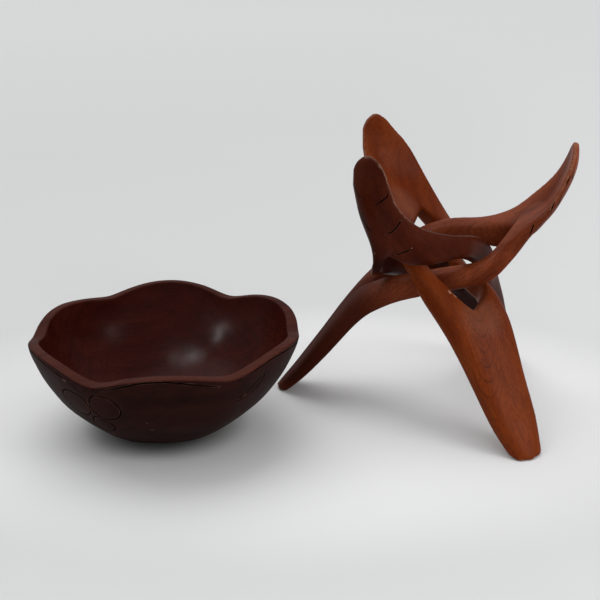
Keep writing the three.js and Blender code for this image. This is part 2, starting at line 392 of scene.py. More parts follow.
class WoodGroups:
    """The shader node groups that the finishes share, each built once."""

    warp: float = 0.004
    ring_waver: float = 3.0
    sharpness: float = 0.525

    def __init__(self) -> None:
        """Build every group."""
        self.figure = self._figure()
        self.edges = self._edges()
        self.rub_or_shade_spot = self._rub_or_shade_spot()

    @staticmethod
    def _open(name: str, inputs: dict[str, float | None]) -> tuple[Graph, bpy.types.NodeOutputs]:
        """Start a group.

        Args:
            name: The group's name.
            inputs: Each input's default, or None where it takes a place.

        Returns:
            A graph to wire it with, and its inputs to read from.
        """
        group = bpy.data.node_groups.new(name, "ShaderNodeTree")
        for label, default in inputs.items():
            kind = "NodeSocketVector" if default is None else "NodeSocketFloat"
            socket = group.interface.new_socket(name=label, in_out="INPUT", socket_type=kind)
            if default is not None:
                socket.default_value = default
        g = Graph(group)
        return g, g.node("NodeGroupInput").outputs

    @staticmethod
    def _close(g: Graph, outputs: dict[str, Socket]) -> bpy.types.NodeTree:
        """Give a group its outputs, which are all plain values.

        Args:
            g: The group's graph.
            outputs: What each output gives.

        Returns:
            The group.
        """
        for label in outputs:
            g.tree.interface.new_socket(name=label, in_out="OUTPUT", socket_type="NodeSocketFloat")
        out = g.node("NodeGroupOutput")
        for label, value in outputs.items():
            g.feed(out, label, value)
        return g.tree

    def _figure(self) -> bpy.types.NodeTree:
        """The wood's own drawing: growth rings, fibres, pores, broad patches and arches.

        Returns:
            A group that reads a place in the board, with X along the grain.
        """
        g, given = self._open("wood_figure", {"Board": None, "Ring Spacing": 0.005, "Ring Slope": 0.12})
        board = given["Board"]
        parts = g.node("ShaderNodeSeparateXYZ", board)
        slow = g.grain(board, along=7.0, across=26.0, detail=2.0)
        waver = g.times(g.minus(slow, 0.5), self.warp)
        depth = g.minus(parts.outputs["Z"], g.times(parts.outputs["X"], given["Ring Slope"]))
        away = g.maths("SQRT", g.plus(g.squared(parts.outputs["Y"]), g.squared(depth)))
        phase = g.maths("DIVIDE", g.plus(away, g.times(waver, self.ring_waver)), given["Ring Spacing"])
        phase = g.maths("FRACT", phase)
        late = g.times(g.spread(phase, 0.45, 0.93), g.spread(phase, 1.0, 0.95))
        uneven = g.spread(g.grain(board, along=9.0, across=60.0), 0.3, 0.65)
        dots = g.spread(g.grain(board, along=150.0, across=1900.0), 0.62, 0.72)
        outputs = {
            "Rings": g.times(late, uneven),
            "Fibre": g.grain(board, along=28.0, across=900.0, detail=3.0, roughness=0.6),
            "Pores": g.times(dots, uneven),
            "Patches": g.grain(board, along=4.0, across=42.0, detail=3.0, roughness=0.55),
            "Arches": Arches().mask(g, parts, waver),
        }
        return self._close(g, outputs)

    def _edges(self) -> bpy.types.NodeTree:
        """Pale edges, partly worn and partly a painted highlight, and painted shade in the concave
        hollows.

        Returns:
            A group with the two masks.
        """
        g, given = self._open("edge_wear_sheen_and_hollow_shade", {"Place": None})
        point = g.node("ShaderNodeNewGeometry").outputs["Pointiness"]
        ragged = g.cloud(given["Place"], 160.0, 3.0, 0.6)
        lifted = g.plus(point, g.times(g.minus(ragged, 0.5), 0.05))
        over = g.minus(lifted, self.sharpness)
        # The first mask is pale wear on sharp edges, partly a painted highlight; the second is painted
        # shade in concave creases.
        return self._close(g, {"Wear And Sheen": g.spread(over, 0.0, 0.06), "Hollow Shade": g.spread(point, 0.49, 0.42)})

    def _rub_or_shade_spot(self) -> bpy.types.NodeTree:
        """A spot at one place, for a rubbed or chipped mark or for a patch of painted shade.

        Returns:
            A group that is 1 at its centre and ragged towards its radius.
        """
        g, given = self._open(
            "rubbed_or_shaded_spot", {"Place": None, "Centre": None, "Radius": 0.01, "Raggedness": 1.5}
        )
        share = g.maths("DIVIDE", g.distance(given["Place"], given["Centre"]), given["Radius"])
        ragged = g.cloud(given["Place"], 420.0, 3.0, 0.65)
        rough = g.times(g.minus(ragged, 0.5), given["Raggedness"])
        return self._close(g, {"Mask": g.spread(g.plus(share, rough), 0.95, 0.4)})


@dataclass(frozen=True)
class RubOrShadeSpot:
    """One spot on a piece: a rubbed pale mark, or a patch of painted shade."""

    centre: Place
    radius: float
    strength: float = 0.5
    raggedness: float = 1.5

    def mask(self, g: Graph, groups: WoodGroups, place: Socket) -> Socket:
        """Add the spot at a place on the piece and return its mask, with its strength in it."""
        sizes = {"Centre": self.centre, "Radius": self.radius, "Raggedness": self.raggedness}
        spot = g.node("ShaderNodeGroup", node_tree=groups.rub_or_shade_spot, Place=place, **sizes)
        return g.times(spot.outputs["Mask"], self.strength)


@dataclass(frozen=True)
class WoodFinish:
    """One board's colour, figure and polish, with painted shade and partly painted highlights in it."""

    name: str
    body: Colour
    light: Colour
    dark: Colour
    worn_and_sheen: Colour
    grain_from: Place
    grain_turn: Place
    ring_spacing: float = 0.0048
    ring_slope: float = 0.12
    ring_strength: float = 0.16
    fibre_strength: float = 0.35
    arch_strength: float = 0.0
    pore_strength: float = 0.4
    # How strongly painted shade darkens the hollows, and how strongly the pale edges, partly worn and
    # partly a painted highlight, show.
    hollow_shade_strength: float = 0.6
    wear_and_sheen_strength: float = 0.45
    roughness: float = 0.34
    fibre_roughness: float = 0.12
    wear_and_sheen_roughness: float = 0.08
    rub_roughness: float = 0.25
    shade_spot_roughness: float = 0.4
    specular: float = 0.07
    tool_marks: float = 38.0
    tool_depth: float = 0.6
    fibre_depth: float = 0.06
    pore_depth: float = 0.05
    bump_strength: float = 0.35
    bump_distance: float = 0.0012
    rubs: tuple[RubOrShadeSpot, ...] = ()
    # Patches of painted shade, which darken towards the dark colour.
    shade_spots: tuple[RubOrShadeSpot, ...] = ()

    def build(self, groups: WoodGroups) -> Material:
        """Make the material.

        Args:
            groups: The shared node groups.

        Returns:
            The finished material.
        """
        material, g = new_material(self.name)
        place = g.node("ShaderNodeTexCoord").outputs["Object"]
        along = {"Location": self.grain_from, "Rotation": self.grain_turn}
        board = g.node("ShaderNodeMapping", vector_type="TEXTURE", Vector=place, **along).outputs[0]
        rings = {"Ring Spacing": self.ring_spacing, "Ring Slope": self.ring_slope}
        figure = g.node("ShaderNodeGroup", node_tree=groups.figure, Board=board, **rings).outputs
        edges = g.node("ShaderNodeGroup", node_tree=groups.edges, Place=place).outputs
        colour = g.blend(g.spread(figure["Patches"], 0.32, 0.68), self.body, self.light)
        # Fibre, rings, arches and pores are the wood's own; then painted shade in the hollows and pale
        # edges that are partly a painted highlight.
        for mask, strength, tint in (
            (g.spread(figure["Fibre"], 0.62, 0.36), self.fibre_strength, self.dark),
            (figure["Rings"], self.ring_strength, self.dark),
            (figure["Arches"], self.arch_strength, self.dark),
            (figure["Pores"], self.pore_strength, self.dark),
            (edges["Hollow Shade"], self.hollow_shade_strength, self.dark),
            (edges["Wear And Sheen"], self.wear_and_sheen_strength, self.worn_and_sheen),
        ):
            colour = g.blend(g.times(mask, strength), colour, tint)
        rough = g.plus(self.roughness, g.times(figure["Fibre"], self.fibre_roughness))
        rough = g.plus(rough, g.times(edges["Wear And Sheen"], self.wear_and_sheen_roughness))
        # Painted shade spots darken towards the dark colour; rubbed spots lighten towards the pale worn
        # colour.
        for spots, tint, dulling in (
            (self.shade_spots, self.dark, self.shade_spot_roughness),
            (self.rubs, self.worn_and_sheen, self.rub_roughness),
        ):
            for spot in spots:
                mask = spot.mask(g, groups, place)
                colour = g.blend(mask, colour, tint)
                rough = g.plus(rough, g.times(mask, dulling))
        tooled = g.times(g.cloud(place, self.tool_marks, 1.0), self.tool_depth)
        height = g.plus(tooled, g.times(figure["Fibre"], self.fibre_depth))
        height = g.minus(height, g.times(figure["Pores"], self.pore_depth))
        bump = g.node(
            "ShaderNodeBump", Strength=self.bump_strength, Distance=self.bump_distance, Height=height
        )
        shader = g.surface(colour, rough, self.specular)
        g.feed(shader, "Normal", bump.outputs[0])
        return material


@dataclass(frozen=True)
class LineFinish:
    """The dark wax that fills the carved lines."""

    name: str = "carved_line"
    deep: Colour = (0.002, 0.0009, 0.0007)
    pale: Colour = (0.007, 0.0035, 0.0025)
    dust_scale: float = 300.0
    roughness: float = 0.6
    dust_roughness: float = 0.3
    specular: float = 0.01

    def build(self) -> Material:
        """Make the material.

        Returns:
            A dull, almost black brown with some dust in it.
        """
        material, g = new_material(self.name)
        dust = g.cloud(g.node("ShaderNodeTexCoord").outputs["Object"], self.dust_scale, 3.0, 0.6)
        colour = g.blend(g.spread(dust, 0.45, 0.75), self.deep, self.pale)
        g.surface(colour, g.plus(self.roughness, g.times(dust, self.dust_roughness)), self.specular)
        return material


@dataclass
class Carver:
    """Cuts shallow lines, which don't cross one another, into a finished piece."""

    piece: Piece
    line_wood: Material
    end_width: float = 0.35
    end_growth: float = 2.6

    def __post_init__(self) -> None:
        """Take the piece's surface and start on the tubes that cut it."""
        self.tree = BVHTree.FromObject(self.piece, bpy.context.evaluated_depsgraph_get())
        self.curve = bpy.data.curves.new("carving_tool", "CURVE")
        self.curve.dimensions = "3D"
        self.curve.bevel_depth = 1.0
        self.curve.bevel_resolution = 2
        self.curve.use_fill_caps = True

    def line(
        self, looks: Sequence[Sequence[Look]], half_width: float, reach: float = 1.0, closed: bool = False
    ) -> None:
        """Lay a line where straight looks meet the piece, if two of them do.

        Args:
            looks: For each point of the line, the looks to try, the best one first.
            half_width: Half the line's width.
            reach: How far a look goes.
            closed: Whether the line's ends meet.
        """
        points = []
        for choices in looks:
            met = [self.tree.ray_cast(start, towards, reach)[0] for start, towards in choices]
            points += [place for place in met if place is not None][:1]
        last = len(points) - 1
        if last < 1:
            return
        spline = self.curve.splines.new("POLY")
        spline.points.add(last)
        spline.use_cyclic_u = closed
        for index, point in enumerate(points):
            spline.points[index].co = (*point, 1.0)
            growth = self.end_width + self.end_growth * min(index, last - index) / last
            spline.points[index].radius = half_width * (1.0 if closed else min(1.0, growth))

    def carve(self) -> None:
        """Cut the lines that have been laid."""
        tool = bpy.data.objects.new("carving_tool", self.curve)
        bpy.context.collection.objects.link(tool)
        pick(tool)
        bpy.ops.object.convert(target="MESH")
        tool = bpy.context.object
        tool.data.materials.clear()
        tool.data.materials.append(self.line_wood)
        how = {"operation": "DIFFERENCE", "solver": "EXACT", "material_mode": "TRANSFER"}
        apply_modifier(self.piece, "BOOLEAN", object=tool, **how)
        bpy.data.objects.remove(tool, do_unlink=True)


@dataclass(frozen=True)
class Lobe:
    """One lobe of the rim, which rises from its low corner to its crest."""

    turn: float
    low: float
    low_out: float
    high: float
    high_out: float
    carving: Carving


@dataclass
class Bowl:
    """The bowl, carved from one piece, with a rim of six unlike lobes."""

    node: str = "bowl"
    slot: str = "bowl_wood"
    columns: int = 168
    wall_rows: int = 26
    middle: Vector = Vector((-0.1549, -0.0387, 0.0))
    base_radius: float = 0.046
    base_shares: tuple[float, ...] = (0.35, 0.7, 0.97)
    base_edge: Station = (0.0028, 0.0004)
    rim_radius: float = 0.1475
    rim_drift: Vector = Vector((0.0038, 0.0007, 0.0))
    corner_wall: float = 0.0135
    crest_wall: float = 0.011
    corner_ease: float = 0.37
    wave_power: float = 0.6
    floor_height: float = 0.011
    outer_span: Station = (0.012, 0.975)
    outer_crowding: float = 1.15
    outer_top: float = 0.985
    inner_span: float = 0.955
    inner_crowding: float = 1.35
    inner_drop: float = 0.001
    rim_flat: float = 0.0012
    outer_lip: tuple[Station, ...] = (
        (-0.0002, -0.0015), (-0.0006, -0.0007), (-0.0013, -0.0001), (-0.0022, 0.0001),
    )
    inner_lip: tuple[Station, ...] = (
        (0.0018, 0.0005), (0.001, 0.0004), (0.0004, -0.0001), (0.0, -0.001), (-0.0002, -0.0024),
    )
    tool_waves: tuple[Station, ...] = ((26.0, 0.0004), (70.0, 0.00012))
    smooth_base: float = 0.004
    look_from: float = 0.2
    carving_shift: float = 1.7
    ring_half_width: float = 0.0009
    rim_half_width: float = 0.001
    rib_half_width: float = 0.0006
    lobes: tuple[Lobe, ...] = (
        Lobe(3.0, 0.1085, 0.1455, 0.1185, 0.149, Carving.LEAF),
        Lobe(64.5, 0.106, 0.147, 0.12, 0.1505, Carving.FLOWER),
        Lobe(125.0, 0.1095, 0.146, 0.1165, 0.1465, Carving.LEAF),
        Lobe(181.0, 0.1055, 0.145, 0.1165, 0.1485, Carving.FLOWER),
        Lobe(246.0, 0.1025, 0.1475, 0.116, 0.1495, Carving.LEAF),
        Lobe(303.5, 0.1045, 0.146, 0.1175, 0.1485, Carving.FLOWER),
    )
    outer_shape: tuple[Station, ...] = (
        (0.0, 0.312), (0.012, 0.35), (0.036, 0.395), (0.09, 0.482), (0.163, 0.565), (0.272, 0.666),
        (0.408, 0.774), (0.544, 0.849), (0.68, 0.91), (0.816, 0.955), (0.915, 0.984), (1.0, 1.0),
    )
    inner_shape: tuple[Station, ...] = (
        (0.0, 0.0), (0.01, 0.2), (0.05, 0.38), (0.14, 0.55), (0.28, 0.7), (0.43, 0.81), (0.6, 0.895),
        (0.75, 0.95), (0.9, 0.985), (1.0, 1.0),
    )
    rim_line: tuple[Station, ...] = (
        (0.03, 0.0036), (0.17, 0.0055), (0.27, 0.005), (0.38, 0.0031), (0.5, 0.0027), (0.6, 0.0031),
        (0.71, 0.0046), (0.85, 0.0053), (0.95, 0.0062),
    )
    diving_line: tuple[Station, ...] = (
        (0.06, 0.0042), (0.2, 0.0036), (0.38, 0.0027), (0.56, 0.0042), (0.68, 0.0049), (0.8, 0.0054),
        (0.86, 0.0055), (0.9, 0.0086), (0.93, 0.0122), (0.962, 0.0172),
    )

    def _rim(self, angle: float) -> tuple[float, float, float]:
        """Read the rim at an angle.

        Args:
            angle: The direction from the bowl's middle.

        Returns:
            Its height, its outer radius and the width of its wall.
        """
        first = self.lobes[0].turn
        turn = (math.degrees(angle) - first) % 360 + first
        index = max(i for i, lobe in enumerate(self.lobes) if lobe.turn <= turn + 1e-9)
        here, following = self.lobes[index], self.lobes[(index + 1) % len(self.lobes)]
        share = (turn - here.turn) / ((following.turn - here.turn) % 360)
        still = self.corner_ease**self.wave_power
        swing = math.hypot(math.sin(math.pi * share), self.corner_ease) ** self.wave_power
        lift = (swing - still) / (math.hypot(1.0, self.corner_ease) ** self.wave_power - still)
        passed = share * share * (3 - 2 * share)
        low = here.low + (following.low - here.low) * passed
        low_out = here.low_out + (following.low_out - here.low_out) * passed
        wall = self.corner_wall + (self.crest_wall - self.corner_wall) * lift
        return low + (here.high - low) * lift, low_out + (here.high_out - low_out) * lift, wall

    def _outer(self, angle: float, up: float) -> Station:
        """A point of the outer wall.

        Args:
            angle: The direction from the bowl's middle.
            up: The share of the way up to the rim.

        Returns:
            The radius and the height there.
        """
        height, radius, _ = self._rim(angle)
        lobed = self.rim_radius + (radius - self.rim_radius) * up**2
        return lobed * reading(self.outer_shape, up), height * up * self.outer_top

    def _inner(self, angle: float, up: float) -> Station:
        """A point of the inner wall, read like the outer one."""
        height, radius, wall = self._rim(angle)
        lobed = self.rim_radius + (radius - self.rim_radius) * up**2 - wall
        rise = (height - self.inner_drop - self.floor_height) * up
        return lobed * reading(self.inner_shape, up), self.floor_height + rise

    def _profile(self, angle: float) -> list[Station]:
        """The bowl's whole profile at an angle, from the base round the rim to the floor.

        Args:
            angle: The direction from the bowl's middle.

        Returns:
            Radius and height of each ring.
        """
        rows = [(self.base_radius * share, 0.0) for share in self.base_shares]
        rows.append((self.base_radius + self.base_edge[0], self.base_edge[1]))
        low, high = self.outer_span
        for step in range(1, self.wall_rows + 1):
            up = (step / self.wall_rows) ** self.outer_crowding
            rows.append(self._outer(angle, low + (high - low) * up))
        height, radius, wall = self._rim(angle)
        rows += [(radius + out, height + up) for out, up in self.outer_lip]
        rows += [(radius - wall + out, height + up) for out, up in self.inner_lip]
        for step in range(1, self.wall_rows):
            up = (1 - step / self.wall_rows) ** self.inner_crowding
            rows.append(self._inner(angle, self.inner_span * up))
        return rows

    def turn(self) -> Piece:
        """Shape the bowl from a ball: its rings run from the base round the rim to the floor.

        Returns:
            The closed bowl.
        """
        angles = [index * 2 * math.pi / self.columns for index in range(self.columns)]
        profiles = [self._profile(angle) for angle in angles]
        rings = len(profiles[0]) + 1
        deselect_all()
        bpy.ops.mesh.primitive_uv_sphere_add(segments=self.columns, ring_count=rings, radius=1.0)
        bowl = bpy.context.object
        bowl.name = "turned_bowl"
        crest = max(lobe.high for lobe in self.lobes)
        levels = [sum(profile[row][1] for profile in profiles) / self.columns for row in range(rings - 1)]
        for vertex in bowl.data.vertices:
            row = round(rings * math.acos(max(-1.0, min(1.0, -vertex.co.z))) / math.pi) - 1
            if row < 0:
                vertex.co = self.middle
                continue
            if row > rings - 2:
                vertex.co = self.middle + self.rim_drift * self.floor_height / crest
                vertex.co.z = self.floor_height
                continue
            turned = math.atan2(vertex.co.y, vertex.co.x)
            column = round(turned / (2 * math.pi) * self.columns) % self.columns
            radius, height = profiles[column][row]
            angle = angles[column]
            centre = self.middle + self.rim_drift * min(levels[row] / crest, 1.0)
            vertex.co = centre + Vector((math.cos(angle) * radius, math.sin(angle) * radius, height))
        apply_modifier(bowl, "SUBSURF", levels=1, render_levels=1)
        return bowl

    def roughen(self, bowl: Piece) -> None:
        """Give the walls the slight unevenness of hand carving.

        Args:
            bowl: The bowl to change.
        """
        low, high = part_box(self.node)
        normals = [vertex.normal.copy() for vertex in bowl.data.vertices]
        for vertex, normal in zip(bowl.data.vertices, normals):
            place = vertex.co
            if place.z < self.smooth_base:
                continue
            place += normal * sum(noise.noise(place * scale) * depth for scale, depth in self.tool_waves)
            place.z = min(place.z, high[2])
            hold_sideways(place, low, high)

    def _look(self, turn: float, height: float) -> list[Look]:
        """A look at the outer wall, from a direction in degrees and at a height."""
        outward = Vector((math.cos(math.radians(turn)), math.sin(math.radians(turn)), 0.0))
        return [(self.middle + outward * self.look_from + Vector((0, 0, height)), -outward)]

    def _ring(self, turn: float, outline: Sequence[Station], carver: Carver) -> None:
        """Lay a closed smooth line round a petal or a leaf.

        Args:
            turn: The flower's direction from the bowl's middle, in degrees.
            outline: Corners of the line: degrees from the flower's middle and height.
            carver: The carver that knows the wall.
        """
        looks = []
        count = len(outline)
        for index in range(count):
            before, here = outline[index - 1], outline[index]
            after, last = outline[(index + 1) % count], outline[(index + 2) % count]
            for share in (0.0, 0.34, 0.67):
                side, height = (spun(before[k], here[k], after[k], last[k], share) for k in (0, 1))
                looks.append(self._look(turn + side, height))
        carver.line(looks, self.ring_half_width, closed=True)

    def _rim_line(self, here: Lobe, following: Lobe, carver: Carver) -> None:
        """Lay the line that follows one lobe's rim, and dives to the flower where there is one.

        Args:
            here: The lobe.
            following: The next one.
            carver: The carver that knows the wall.
        """
        stations = self.diving_line if here.carving is Carving.FLOWER else self.rim_line
        span = (following.turn - here.turn) % 360
        steps = 40
        looks = []
        for step in range(steps + 1):
            share = stations[0][0] + (stations[-1][0] - stations[0][0]) * step / steps
            turn = here.turn + span * share
            looks.append(self._look(turn, self._rim(math.radians(turn))[0] - reading(stations, share)))
        carver.line(looks, self.rim_half_width)

    def build(self, woods: Sequence[Material], line_wood: Material) -> None:
        """Make the whole bowl.

        Args:
            woods: The finish of its inside, its paler copy for the flat top of its rim, which is painted
                light, and its darker copy for its outside, which is painted shade.
            line_wood: The finish of its carved lines.
        """
        bowl = self.turn()
        self._mark_finishes(bowl)
        self.roughen(bowl)
        for material in (*woods, line_wood):
            bowl.data.materials.append(material)
        pairs = list(zip(self.lobes, self.lobes[1:] + self.lobes[:1]))
        carver = Carver(bowl, line_wood)
        for here, following in pairs:
            self._rim_line(here, following, carver)
        carver.carve()
        carver = Carver(bowl, line_wood)
        for here, following in pairs:
            corner = following.turn - self.carving_shift
            flower = here.carving is Carving.FLOWER
            for outline in FLOWER_PETALS if flower else (LEAF_OUTLINE,):
                self._ring(corner, outline, carver)
            if not flower:
                rib = [self._look(corner + turn, height) for turn, height in LEAF_RIB]
                carver.line(rib, self.rib_half_width)
        carver.carve()
        finish_piece(bowl, self.node, self.node)

    def _mark_finishes(self, bowl: Piece) -> None:
        """Give the flat top of the rim a paler copy of the wood as painted light, and the outside and the
        faces that look down a darker copy as painted shade.

        Args:
            bowl: The turned bowl.
        """
        inner_edge, outer_edge, steep = 0.0002, 0.0004, 0.5
        for face in bowl.data.polygons:
            offset = face.center - self.middle - self.rim_drift
            height, radius, wall = self._rim(math.atan2(offset.y, offset.x))
            between = radius - wall - inner_edge < offset.xy.length < radius - outer_edge
            if between and offset.z > height - self.rim_flat:
                face.material_index = BowlFace.RIM.value
                continue
            outward = offset.xy.length > self.base_radius and face.normal.xy.dot(offset.xy) > 0
            if (outward and face.normal.z < steep) or face.normal.z < -steep:
                face.material_index = BowlFace.OUTSIDE.value


@dataclass
class StandBoard:
    """One carved board of the stand: a petal, an eye and a leg."""

    node: str
    turn: float
    low_scale: float
    slot: str = "stand_wood"
    weld: float = 0.00001
    flatness: float = 0.9
    voxel: float = 0.0013
    relaxing: tuple[float, ...] = (0.5, -0.53, 0.5, -0.53)
    relaxing_passes: int = 10
    foot_height: float = 0.034
    foot_round: float = 0.0045
    foot_side_pull: float = 1.7
    foot_passes: int = 24
    tip_start: float = 0.2
    tip_rise: float = 0.08
    tip_growth: float = 0.0016
    tip_passes: int = 16
    crotch: Place = (-0.0745, -0.001, 0.133)
    crotch_reach: float = 0.022
    crotch_pull: float = 1.6
    crotch_passes: int = 30
    middle: Vector = Vector(STAND_MIDDLE)
    line_half_width: float = 0.0009
    vein_look: float = 0.22
    vein_reach: float = 0.16
    vein_pulls: tuple[float, ...] = (1.0, 0.94, 0.88, 0.8, 0.7)
    mark_look: float = -0.12
    mark_reach: float = 0.12
    high_veins: tuple[tuple[Station, ...], ...] = (
        ((0.0045, 0.2615), (0.0115, 0.2673), (0.0174, 0.2731), (0.0195, 0.2763)),
        ((0.0018, 0.2263), (0.011, 0.2302), (0.0168, 0.236), (0.0206, 0.2422), (0.0228, 0.2463)),
        ((0.0029, 0.1996), (0.0116, 0.2028), (0.0192, 0.2067), (0.023, 0.2092)),
    )
    low_veins: tuple[tuple[Station, ...], ...] = (
        ((-0.0205, 0.2845), (-0.0185, 0.2772), (-0.0155, 0.2715), (-0.012, 0.2665)),
        ((-0.0225, 0.2555), (-0.0215, 0.2475), (-0.018, 0.2395), (-0.014, 0.2318), (-0.0105, 0.2275)),
        ((-0.0235, 0.2235), (-0.022, 0.2145), (-0.019, 0.2068), (-0.016, 0.2005)),
    )
    edge_marks: tuple[tuple[Station, ...], ...] = (
        ((0.1375, 0.2755), (0.1358, 0.2705), (0.134, 0.265)),
        ((0.1225, 0.248), (0.1208, 0.242), (0.1192, 0.236)),
        ((0.104, 0.229), (0.102, 0.2215), (0.1, 0.214), (0.0985, 0.208)),
    )

    def _turned(self, direction: Place) -> Vector:
        """A direction of the board's own frame, in the part's frame."""
        return Matrix.Rotation(math.radians(self.turn), 3, "Z") @ Vector(direction)

    def _local(self, place: Place) -> Vector:
        """A point of the board's own frame, in the part's frame."""
        return self.middle + self._turned(place)

    def smooth(self) -> Piece:
        """Copy the rough board and smooth its facets away.

        Returns:
            The smoothed board.
        """
        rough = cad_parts[self.node]
        board = bpy.data.objects.new(f"carved_{self.node}", rough.data.copy())
        bpy.context.collection.objects.link(board)
        board.data.materials.clear()
        pick(board)
        bpy.ops.object.mode_set(mode="EDIT")
        bpy.ops.mesh.select_all(action="SELECT")
        bpy.ops.mesh.remove_doubles(threshold=self.weld)
        bpy.ops.mesh.tris_convert_to_quads(face_threshold=self.flatness, shape_threshold=self.flatness)
        bpy.ops.object.mode_set(mode="OBJECT")
        apply_modifier(board, "SUBSURF", levels=2, render_levels=2)
        apply_modifier(board, "REMESH", mode="VOXEL", voxel_size=self.voxel)
        for factor in self.relaxing:
            apply_modifier(board, "SMOOTH", factor=factor, iterations=self.relaxing_passes)
        self._scoop_crotch(board)
        self._round_foot(board)
        self._fill_tip(board)
        return board

    def _scoop_crotch(self, board: Piece) -> None:
        """Wear the sharp corner round where the two rails run into the leg.

        Args:
            board: The smoothed board.
        """
        corner = self._local(self.crotch)
        near = [1 - (vertex.co - corner).length / self.crotch_reach for vertex in board.data.vertices]
        soften(board, [share * self.crotch_pull for share in near], self.crotch_passes)

    def _round_foot(self, board: Piece) -> None:
        """Round the end of the leg, which is square in the rough board.

        Args:
            board: The smoothed board.
        """
        heights = [vertex.co.z for vertex in board.data.vertices]
        low = [index for index, height in enumerate(heights) if height < self.foot_height]
        soften(board, [1 - height / self.foot_height for height in heights], self.foot_passes)
        back = Matrix.Rotation(math.radians(-self.turn), 3, "Z")
        places = [back @ (vertex.co - self.middle) for vertex in board.data.vertices]
        across = [places[index].y for index in low]
        middle = (min(across) + max(across)) / 2
        half = (max(across) - min(across)) / 2
        outward = self._turned((-1, 0, 0))
        bottom = min(place.z for place in places)
        for index in low:
            vertex = board.data.vertices[index]
            share = max(0.0, 1 - places[index].z / self.foot_height)
            side = (places[index].y - middle) / half
            vertex.co += outward * self.foot_round * share * (1 - self.foot_side_pull * side * side)
            vertex.co.z = max(vertex.co.z - bottom * share, 0.0)

    def _fill_tip(self, board: Piece) -> None:
        """Fatten the petal towards its tip, inside the rough board's box.

        Args:
            board: The smoothed board.
        """
        low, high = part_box(self.node)
        rises = [(vertex.co.z - self.tip_start) / self.tip_rise for vertex in board.data.vertices]
        shares = [min(max(rise, 0.0), 1.0) for rise in rises]
        soften(board, shares, self.tip_passes)
        normals = [vertex.normal.copy() for vertex in board.data.vertices]
        for vertex, normal, share in zip(board.data.vertices, normals, shares):
            vertex.co += Vector((normal.x, normal.y, normal.z * 0.5)) * self.tip_growth * share
            vertex.co.z = min(vertex.co.z, high[2])
            if vertex.co.z > self.foot_height:
                hold_sideways(vertex.co, low, high)

    def _veins(self, carver: Carver) -> None:
        """Lay the leaf veins on the petal's outer face, which run to its high and its low edge.

        Args:
            carver: The carver that knows the petal.
        """
        inward = self._turned((-1, 0, 0))
        for routes, scale in ((self.high_veins, 1.0), (self.low_veins, self.low_scale)):
            for route in routes:
                looks = []
                for across, height in route:
                    sides = [across * scale * pull for pull in self.vein_pulls]
                    looks.append([(self._local((self.vein_look, side, height)), inward) for side in sides])
                carver.line(looks, self.line_half_width, self.vein_reach)

    def _marks(self, carver: Carver) -> None:
        """Lay the short marks on the petal's low edge.

        Args:
            carver: The carver that knows the petal.
        """
        inward = self._turned((0, 1, 0))
        for route in self.edge_marks:
            looks = [[(self._local((out, self.mark_look, height)), inward)] for out, height in route]
            carver.line(looks, self.line_half_width, self.mark_reach)

    def build(self, wood: Material, line_wood: Material) -> None:
        """Make the whole board.

        Args:
            wood: The board's own finish.
            line_wood: The finish of its veins.
        """
        board = self.smooth()
        board.data.materials.append(wood)
        board.data.materials.append(line_wood)
        carver = Carver(board, line_wood)
        self._veins(carver)
        carver.carve()
        if self.edge_marks:
            carver = Carver(board, line_wood)
            self._marks(carver)
            carver.carve()
        finish_piece(board, self.node, self.node)


@dataclass(frozen=True)
class Panel:
    """One square light. It shows in the polish only when it is a gleam, and else lights only."""

    name: str
    place: Place
    size: float
    power: float
    gleam: bool = True


